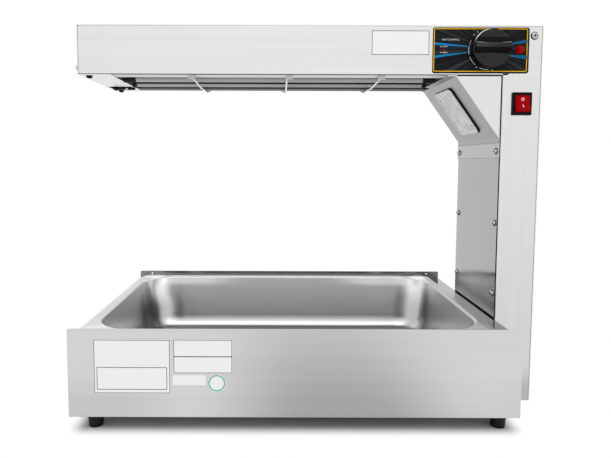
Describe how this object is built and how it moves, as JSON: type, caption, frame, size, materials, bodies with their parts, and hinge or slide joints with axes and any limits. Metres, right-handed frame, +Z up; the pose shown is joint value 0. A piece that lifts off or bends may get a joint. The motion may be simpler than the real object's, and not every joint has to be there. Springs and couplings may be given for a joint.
{
  "type": "infrared food warmer",
  "caption": "Countertop infrared food warmer: an open steel base with a lift-out pan, a hollow side column, and a heated canopy with a work light, dial and switch.",
  "frame": {"origin": "on the table, under the middle of the overall width and depth", "axes": "+Z up, +X along the canopy towards the column, +Y towards the back; the controls face -Y"},
  "size_m": [0.64, 0.33, 0.5284],
  "materials": {
    "base_steel": "horizontally brushed stainless steel",
    "canopy_steel": "horizontally brushed stainless steel",
    "polished_steel": "bright polished stainless steel",
    "pan_steel": "satin drawn stainless steel",
    "inner_steel": "plain zinc-coated steel",
    "reflector_metal": "bright rolled aluminium",
    "quartz_tube": "milky quartz",
    "guard_wire": "bright steel wire",
    "fasteners": "bright steel",
    "foot_rubber": "matt black rubber",
    "knob_plastic": "glossy black plastic",
    "switch_plastic": "satin black plastic",
    "rocker_plastic": "glossy red plastic",
    "control_print": "black printed metal plate",
    "indicator_red": "clear red plastic",
    "black_moulding": "matt black moulding",
    "lamp_porcelain": "white ceramic",
    "lamp_glass": "frosted glass",
    "bulb_glass": "frosted glass"
  },
  "bodies": {
    "warmer": {"deck_shell": "base_steel", "front_panel": "base_steel", "rear_panel": "base_steel", "front_cover": "canopy_steel", "rear_cover": "canopy_steel", "top_cover": "canopy_steel", "right_side_cover": "canopy_steel", "left_end_cap": "canopy_steel", "lamp_housing": "canopy_steel", "column_inner_panel": "polished_steel", "column_spine": "inner_steel", "column_foot_plate": "inner_steel", "lens_retainer": "inner_steel", "lamp_bracket": "inner_steel", "reflector_end_left": "inner_steel", "reflector_end_right": "inner_steel", "reflector": "reflector_metal", "heating_element_front": "quartz_tube", "heating_element_rear": "quartz_tube", "guard_wire_left": "guard_wire", "guard_wire_middle": "guard_wire", "guard_wire_right": "guard_wire", "inner_panel_screws": "fasteners", "end_cap_screws": "fasteners", "side_cover_screws": "fasteners", "top_cover_screws": "fasteners", "cover_screws": "fasteners", "foot_screws": "fasteners", "column_bolts": "fasteners", "regulator_nut": "fasteners", "foot_front_left": "foot_rubber", "foot_front_right": "foot_rubber", "foot_rear_left": "foot_rubber", "foot_rear_right": "foot_rubber", "switch_body": "switch_plastic", "control_plate": "control_print", "indicator_lens": "indicator_red", "heat_regulator": "black_moulding", "indicator_body": "black_moulding", "terminal_block": "black_moulding", "cord_gland": "black_moulding", "gland_nut": "black_moulding", "element_insulators": "black_moulding", "lamp_holder": "lamp_porcelain", "lamp_lens": "lamp_glass", "lamp_bulb": "bulb_glass"},
    "knob": {"control_knob": "knob_plastic", "regulator_shaft": "fasteners"},
    "rocker": {"switch_rocker": "rocker_plastic"},
    "pan": {"food_pan": "pan_steel"}
  },
  "joints": [
    {"name": "knob_turn", "type": "hinge", "parent": "warmer", "child": "knob", "pos_m": [0.2425, -0.09, 0.494], "axis": [0, 1, 0], "range_deg": [0, 270]},
    {"name": "rocker_press", "type": "hinge", "parent": "warmer", "child": "rocker", "pos_m": [0.2905, -0.0808, 0.4215], "axis": [1, 0, 0], "range_deg": [0, 32]},
    {"name": "pan_lift", "type": "slide", "parent": "warmer", "child": "pan", "axis": [0, 0, 1], "range_m": [0, 0.1]}
  ]
}
